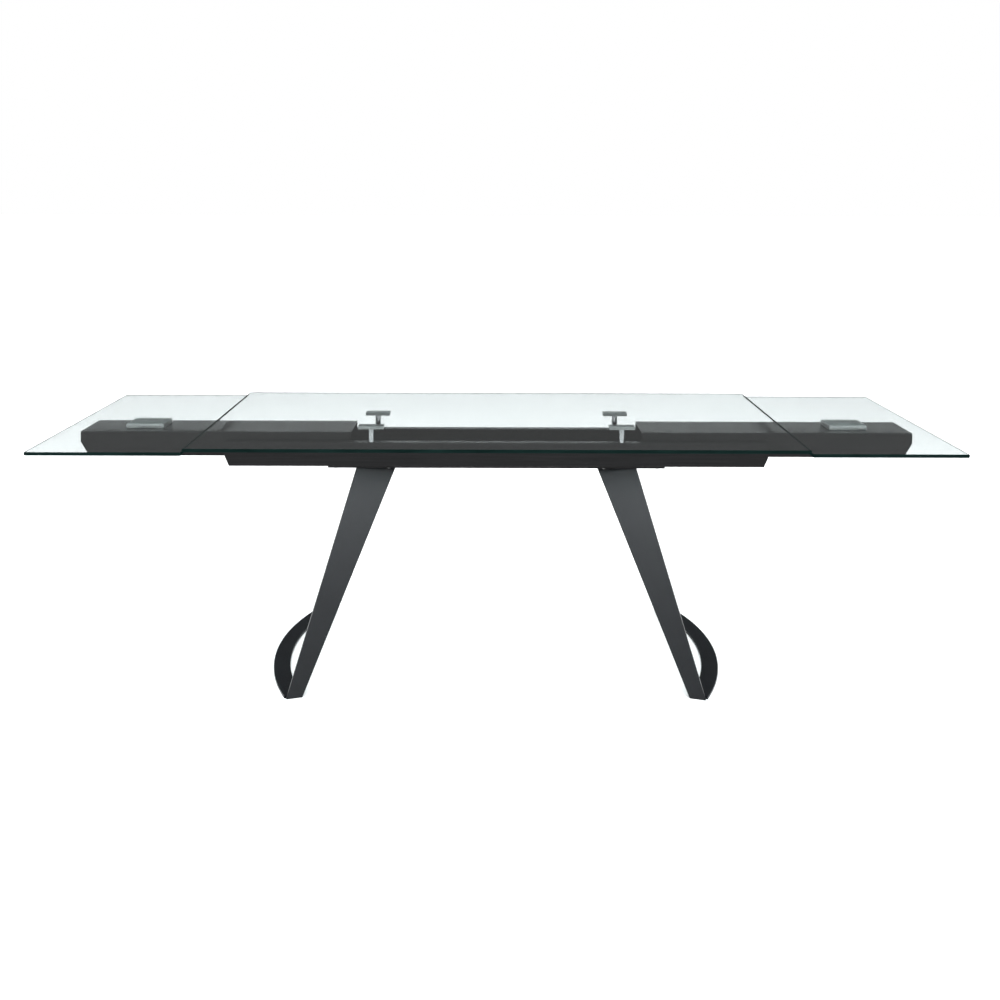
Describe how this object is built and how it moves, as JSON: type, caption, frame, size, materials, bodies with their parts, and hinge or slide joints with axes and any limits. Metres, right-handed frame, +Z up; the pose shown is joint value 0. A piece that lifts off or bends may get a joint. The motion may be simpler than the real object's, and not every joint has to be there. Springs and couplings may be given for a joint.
{
  "type": "extendable dining table",
  "caption": "Rectangular glass dining table on splayed steel plate legs and curved floor bars; a glass leaf on a sliding beam draws out at each end.",
  "frame": {"origin": "on the floor, under the middle of the table", "axes": "+X along the table's length to the right leaf as seen from the front, +Y to the rear, +Z up"},
  "size_m": [2.7, 0.9, 0.765],
  "materials": {
    "anthracite_paint": "satin anthracite powder coat",
    "clear_glass": "clear float glass with polished, faintly green edges",
    "brushed_metal": "brushed along its length",
    "polished_chrome": "polished",
    "zinc_plate": "bright zinc plate",
    "nylon": "natural nylon, matt",
    "rubber": "matt black"
  },
  "bodies": {
    "frame": {"base_bolt_1": "zinc_plate", "base_bolt_2": "zinc_plate", "base_bolt_3": "zinc_plate", "base_bolt_4": "zinc_plate", "base_bolt_5": "zinc_plate", "base_bolt_6": "zinc_plate", "base_bolt_7": "zinc_plate", "base_bolt_8": "zinc_plate", "base_plate": "anthracite_paint", "centre_glass": "clear_glass", "floor_arc_left": "anthracite_paint", "floor_arc_right": "anthracite_paint", "floor_pan": "anthracite_paint", "head_plate_front_left": "brushed_metal", "head_plate_front_right": "brushed_metal", "head_plate_rear_left": "brushed_metal", "head_plate_rear_right": "brushed_metal", "leg_front_left": "anthracite_paint", "leg_front_right": "anthracite_paint", "leg_rear_left": "anthracite_paint", "leg_rear_right": "anthracite_paint", "mouth_axle_left": "zinc_plate", "mouth_axle_right": "zinc_plate", "post_front_left": "polished_chrome", "post_front_right": "polished_chrome", "post_rear_left": "polished_chrome", "post_rear_right": "polished_chrome", "rail_front": "anthracite_paint", "rail_rear": "anthracite_paint", "stop_block": "rubber", "travel_stop_front_left": "zinc_plate", "travel_stop_front_right": "zinc_plate", "travel_stop_rear_left": "zinc_plate", "travel_stop_rear_right": "zinc_plate"},
    "left_slide": {"slide_beam_left": "anthracite_paint", "leaf_block_left": "brushed_metal", "leaf_glass_left": "clear_glass", "tail_axle_front_left": "zinc_plate", "tail_axle_rear_left": "zinc_plate"},
    "right_slide": {"slide_beam_right": "anthracite_paint", "leaf_block_right": "brushed_metal", "leaf_glass_right": "clear_glass", "tail_axle_front_right": "zinc_plate", "tail_axle_rear_right": "zinc_plate"},
    "mouth_roller_front_left": {"mouth_roller_front_left": "nylon"},
    "tail_roller_front_left": {"tail_roller_front_left": "nylon"},
    "mouth_roller_rear_left": {"mouth_roller_rear_left": "nylon"},
    "tail_roller_rear_left": {"tail_roller_rear_left": "nylon"},
    "mouth_roller_front_right": {"mouth_roller_front_right": "nylon"},
    "tail_roller_front_right": {"tail_roller_front_right": "nylon"},
    "mouth_roller_rear_right": {"mouth_roller_rear_right": "nylon"},
    "tail_roller_rear_right": {"tail_roller_rear_right": "nylon"}
  },
  "joints": [
    {"name": "left_leaf_slide", "type": "slide", "parent": "frame", "child": "left_slide", "axis": [-1, 0, 0], "range_m": [-0.45, 0]},
    {"name": "right_leaf_slide", "type": "slide", "parent": "frame", "child": "right_slide", "axis": [1, 0, 0], "range_m": [-0.45, 0]},
    {"name": "mouth_roller_front_left_turn", "type": "hinge", "parent": "frame", "child": "mouth_roller_front_left", "pos_m": [-0.83, -0.06, 0.6487], "axis": [0, 1, 0], "range_deg": [0, 2586]},
    {"name": "tail_roller_front_left_turn", "type": "hinge", "parent": "left_slide", "child": "tail_roller_front_left", "pos_m": [-0.49, -0.098, 0.6882], "axis": [0, 1, 0], "range_deg": [-2586, 0]},
    {"name": "mouth_roller_rear_left_turn", "type": "hinge", "parent": "frame", "child": "mouth_roller_rear_left", "pos_m": [-0.83, 0.06, 0.6487], "axis": [0, 1, 0], "range_deg": [0, 2586]},
    {"name": "tail_roller_rear_left_turn", "type": "hinge", "parent": "left_slide", "child": "tail_roller_rear_left", "pos_m": [-0.49, 0.098, 0.6882], "axis": [0, 1, 0], "range_deg": [-2586, 0]},
    {"name": "mouth_roller_front_right_turn", "type": "hinge", "parent": "frame", "child": "mouth_roller_front_right", "pos_m": [0.83, -0.06, 0.6487], "axis": [0, 1, 0], "range_deg": [-2586, 0]},
    {"name": "tail_roller_front_right_turn", "type": "hinge", "parent": "right_slide", "child": "tail_roller_front_right", "pos_m": [0.49, -0.098, 0.6882], "axis": [0, 1, 0], "range_deg": [0, 2586]},
    {"name": "mouth_roller_rear_right_turn", "type": "hinge", "parent": "frame", "child": "mouth_roller_rear_right", "pos_m": [0.83, 0.06, 0.6487], "axis": [0, 1, 0], "range_deg": [-2586, 0]},
    {"name": "tail_roller_rear_right_turn", "type": "hinge", "parent": "right_slide", "child": "tail_roller_rear_right", "pos_m": [0.49, 0.098, 0.6882], "axis": [0, 1, 0], "range_deg": [0, 2586]}
  ],
  "couplings": [
    {"joint": "mouth_roller_front_left_turn", "follows": "left_leaf_slide", "rad_per_m": -100},
    {"joint": "tail_roller_front_left_turn", "follows": "left_leaf_slide", "rad_per_m": 100},
    {"joint": "mouth_roller_rear_left_turn", "follows": "left_leaf_slide", "rad_per_m": -100},
    {"joint": "tail_roller_rear_left_turn", "follows": "left_leaf_slide", "rad_per_m": 100},
    {"joint": "mouth_roller_front_right_turn", "follows": "right_leaf_slide", "rad_per_m": 100},
    {"joint": "tail_roller_front_right_turn", "follows": "right_leaf_slide", "rad_per_m": -100},
    {"joint": "mouth_roller_rear_right_turn", "follows": "right_leaf_slide", "rad_per_m": 100},
    {"joint": "tail_roller_rear_right_turn", "follows": "right_leaf_slide", "rad_per_m": -100}
  ]
}
